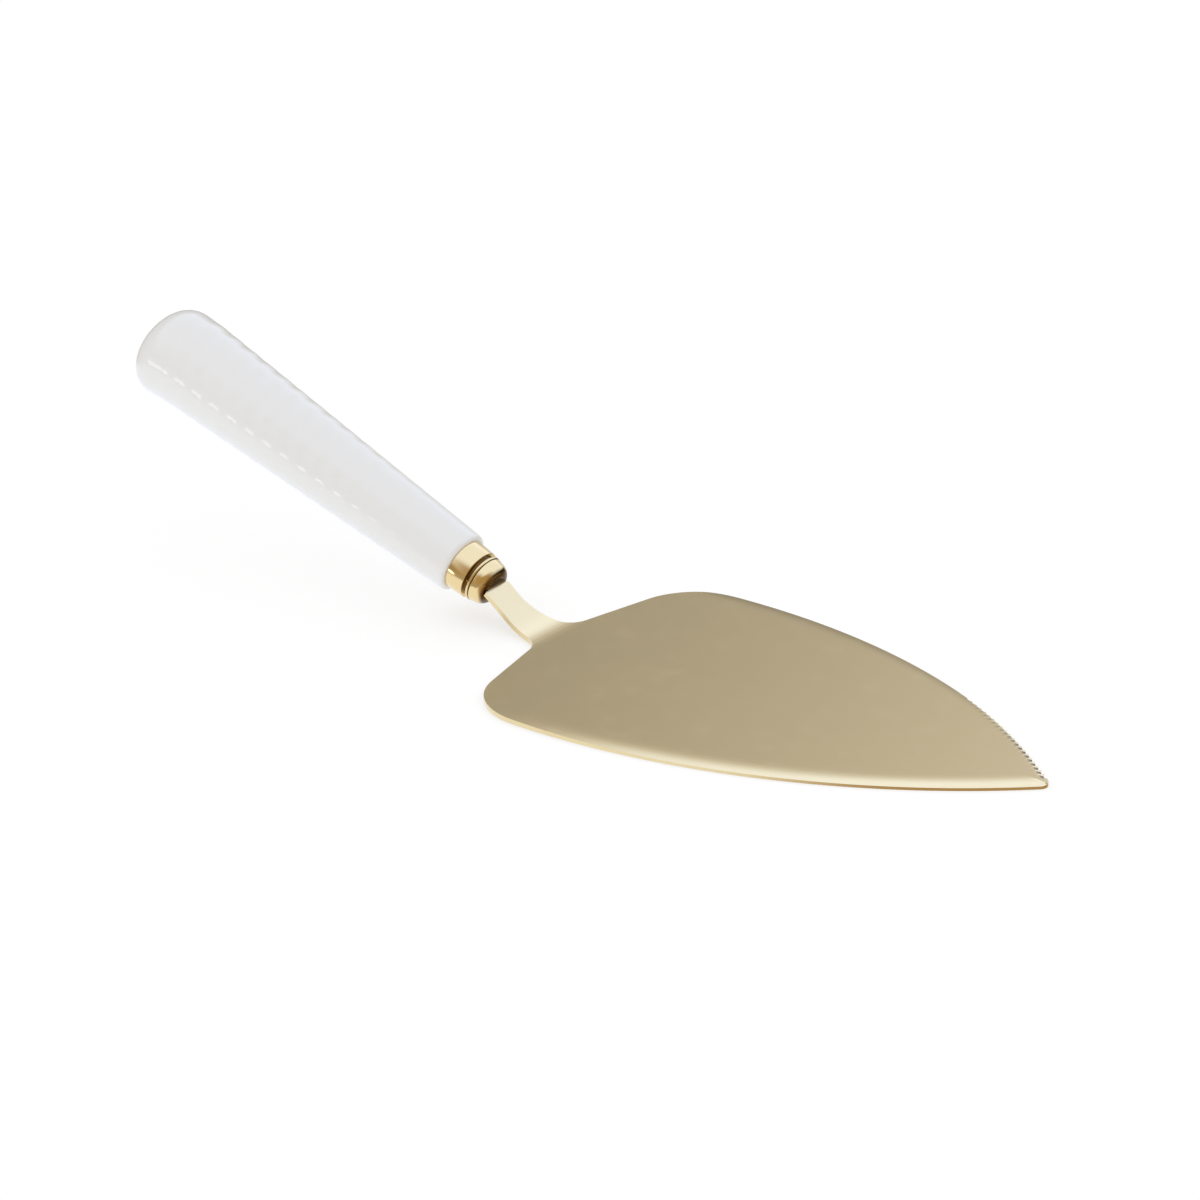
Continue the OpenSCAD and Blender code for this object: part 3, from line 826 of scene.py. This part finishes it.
class SetStage(bpy.types.Operator):
    """Sets the camera, the pale floor and the soft light round it"""
    bl_idname = "cake_server.stage"
    bl_label = "Stage"

    SENSOR_WIDTH, CLIP_END = 36.0, 50.0
    FLOOR_SIZE, FLOOR_GAP = 12.0, 0.1 * MM
    FLOOR_GLOW, FLOOR_BOUNCE = 0.6, 0.75
    SOFT_MEAN, SOFT_RISE = 0.95, 0.12

    # Tones of the studio that polished surfaces mirror
    WHITE, COOL, FRONT_TONE = (1.0, 1.0, 1.0), (0.98, 1.14, 1.58), (0.46, 0.34, 0.18)
    BELOW_LIGHT, BELOW_BROWN, BELOW_EDGE = (1.0, 1.06, 1.2), (0.46, 0.33, 0.19), (0.46, 0.40, 0.31)
    FAR_LIGHT, FAR_DARK, FAR_RIM = (0.42, 0.38, 0.32), (0.10, 0.075, 0.04), (0.76, 0.78, 0.82)
    CEILING_DIM, CEILING_PEAK, CEILING_LOSS, DUSK_DEPTH = 0.32, 1.16, 0.11, 0.75
    SPOT, SPOT_LEVEL = (-0.531, -0.834, -0.153), 3.1

    # Where one tone turns into the next, as parts of a direction along, across and up
    SLANT, SLANT_START = 1.6, 0.53
    CEILING_RISE, CEILING_FALL, COOL_RISE = (0.27, 0.86), (0.9, 1.5), (0.46, 0.80)
    DUSK, DUSK_HEIGHT = (-0.2, 0.2), (0.02, 0.16)
    FRONT, FRONT_EDGE, FRONT_HEIGHT = (0.6, -0.8, 0.0), (0.1, 0.8), (0.55, 0.9)
    BROWN_ALONG, EDGE_HEIGHT = (-0.05, 0.45), (-0.36, -0.20)
    FAR_ACROSS, FAR_HEIGHT, HORIZON = (0.0, 0.4), (-0.30, -0.12), (-0.06, 0.06)
    RIM_LEAN, RIM_START, RIM_END = 0.3, (-0.50, -0.40), (-0.15, 0.05)
    RIM_ACROSS, RIM_HEIGHT = (0.3, 0.6), (0.15, 0.35)
    SPOT_EDGE, SPOT_CORE = math.radians(4.5), math.radians(2.5)

    def camera(self, scene, stage):
        """Camera at the photograph's viewing angle."""
        deselect_all()
        bpy.ops.object.camera_add(rotation=(math.pi / 2 - stage.elevation, 0.0, stage.azimuth))
        camera = bpy.context.object
        back = camera.rotation_euler.to_matrix() @ Vector((0, 0, 1))
        camera.location = Vector(stage.target) + stage.distance * back
        camera.data.sensor_width = self.SENSOR_WIDTH
        camera.data.lens = stage.lens
        camera.data.clip_end = self.CLIP_END
        scene.camera = camera

    def floor(self, stage):
        """A wide pale floor, which mirrors look through to the studio below."""
        deselect_all()
        bpy.ops.mesh.primitive_plane_add(size=self.FLOOR_SIZE, location=(0.0, 0.0, -self.FLOOR_GAP))
        floor = bpy.context.object
        floor.name = "floor"
        material, graph = surface_material("pale_floor")
        glow, bounce, body = (tuple(channel * level for channel in stage.floor)
                              for level in (self.FLOOR_GLOW, self.FLOOR_BOUNCE, 1 - self.FLOOR_GLOW))
        matt = graph.node("ShaderNodeLightPath", output="Is Diffuse Ray")
        shader = graph.node("ShaderNodeBsdfPrincipled", None, {
            "Base Color": opaque(body),
            "Roughness": 1.0,
            "Specular IOR Level": 0.0,
            "Emission Color": graph.mix(matt, opaque(glow), opaque(bounce)),
            "Emission Strength": 1.0,
        })
        glossy = graph.node("ShaderNodeLightPath", output="Is Glossy Ray")
        clear = graph.node("ShaderNodeBsdfTransparent")
        both = graph.node("ShaderNodeMixShader", None, {0: glossy, 1: shader, 2: clear})
        graph.node("ShaderNodeOutputMaterial", None, {"Surface": both})
        floor.data.materials.append(material)

    def mirrored_studio(self, graph, direction, along, across, height):
        """Bright slanting ceiling, darker front and far sides, light ground and a small lamp."""
        slant = height + self.SLANT * (along + self.SLANT_START)
        dusk = graph.band(along, *self.DUSK)
        level = (graph.band(slant, *self.CEILING_RISE, self.CEILING_DIM, self.CEILING_PEAK)
                 - graph.band(slant, *self.CEILING_FALL, 0.0, self.CEILING_LOSS))
        level = level * (1 - dusk * graph.band(height, *self.DUSK_HEIGHT, self.DUSK_DEPTH, 0.0))
        ceiling = graph.mix(graph.band(slant, *self.COOL_RISE), opaque(self.WHITE), opaque(self.COOL))
        front = (graph.band(graph.dot(direction, self.FRONT), *self.FRONT_EDGE)
                 * graph.band(height, *self.FRONT_HEIGHT, 1.0, 0.0))
        above = graph.mix(front, graph.tinted(ceiling, level), opaque(self.FRONT_TONE))
        brown = graph.band(along, *self.BROWN_ALONG)
        below = graph.mix(brown, opaque(self.BELOW_LIGHT), opaque(self.BELOW_BROWN))
        below = graph.mix(graph.band(height, *self.EDGE_HEIGHT), below, opaque(self.BELOW_EDGE))
        far = graph.band(across, *self.FAR_ACROSS) * graph.band(height, *self.FAR_HEIGHT)
        below = graph.mix(far, below, graph.mix(dusk, opaque(self.FAR_LIGHT), opaque(self.FAR_DARK)))
        mirrored = graph.mix(graph.band(height, *self.HORIZON), below, above)
        rim = (graph.band(along - self.RIM_LEAN * height, *self.RIM_START)
               * graph.band(along, *self.RIM_END, 1.0, 0.0)
               * graph.band(across, *self.RIM_ACROSS) * graph.band(height, *self.RIM_HEIGHT, 1.0, 0.0))
        mirrored = graph.mix(rim, mirrored, opaque(self.FAR_RIM))
        lamp = graph.dot(direction, self.SPOT)
        spot = graph.band(lamp, math.cos(self.SPOT_EDGE), math.cos(self.SPOT_CORE))
        return graph.mix(spot, mirrored, opaque((self.SPOT_LEVEL,) * 3))

    def light(self, scene, stage):
        """Even light for matt surfaces, and a studio with its own tones for polished ones."""
        world = bpy.data.worlds.new("studio")
        scene.world = world
        world.use_nodes = True
        graph = Graph(world.node_tree)
        direction = graph.node("ShaderNodeTexCoord", output="Generated")
        along, across, height = (graph.dot(direction, axis) for axis in
                                 ((1.0, 0.0, 0.0), (0.0, 1.0, 0.0), (0.0, 0.0, 1.0)))
        mirrored = self.mirrored_studio(graph, direction, along, across, height)
        soft = graph.tinted(self.WHITE, self.SOFT_MEAN + self.SOFT_RISE * height)
        glossy = graph.node("ShaderNodeLightPath", output="Is Glossy Ray")
        shader = graph.node("ShaderNodeBackground", None,
                            {"Color": graph.mix(glossy, soft, mirrored), "Strength": stage.daylight})
        graph.node("ShaderNodeOutputWorld", None, {"Surface": shader})

    def execute(self, context):
        scene, stage = context.scene, context.scene.server_stage
        self.camera(scene, stage)
        self.floor(stage)
        self.light(scene, stage)
        scene.view_settings.view_transform = "Standard"
        return {"FINISHED"}


class ServerPanel(bpy.types.Panel):
    """Sizes, finishes and steps of the cake server"""
    bl_idname = "VIEW3D_PT_cake_server"
    bl_label = "Cake Server"
    bl_space_type = "VIEW_3D"
    bl_region_type = "UI"
    bl_category = "Cake Server"

    def draw(self, context):
        for name, (group, title) in GROUPS.items():
            box = self.layout.box()
            box.label(text=title)
            for prop in group.__annotations__:
                box.prop(getattr(context.scene, name), prop)
        for step in STEPS:
            self.layout.operator(step.bl_idname)


GROUPS = {
    "server_blade": (BladeSizes, "Blade"),
    "server_fitting": (FittingSizes, "Bolster and ferrule"),
    "server_handle": (HandleSizes, "Handle"),
    "server_finish": (Finishes, "Finishes"),
    "server_stage": (StageSettings, "Stage"),
}
STEPS = (MakeBlade, MakeBolster, MakeFerrule, MakeHandle, FinishCement, SetStage)


def register():
    for group, _ in GROUPS.values():
        bpy.utils.register_class(group)
    for step in (*STEPS, ServerPanel):
        bpy.utils.register_class(step)
    for name, (group, _) in GROUPS.items():
        setattr(bpy.types.Scene, name, bpy.props.PointerProperty(type=group))


def unregister():
    for name in GROUPS:
        delattr(bpy.types.Scene, name)
    for step in reversed((*STEPS, ServerPanel)):
        bpy.utils.unregister_class(step)
    for group, _ in reversed(list(GROUPS.values())):
        bpy.utils.unregister_class(group)


def main():
    register()
    bpy.ops.cake_server.blade()
    bpy.ops.cake_server.bolster()
    bpy.ops.cake_server.ferrule()
    bpy.ops.cake_server.handle()
    bpy.ops.cake_server.cement()
    bpy.ops.cake_server.stage()
    deselect_all()


if __name__ == "__main__":
    main()
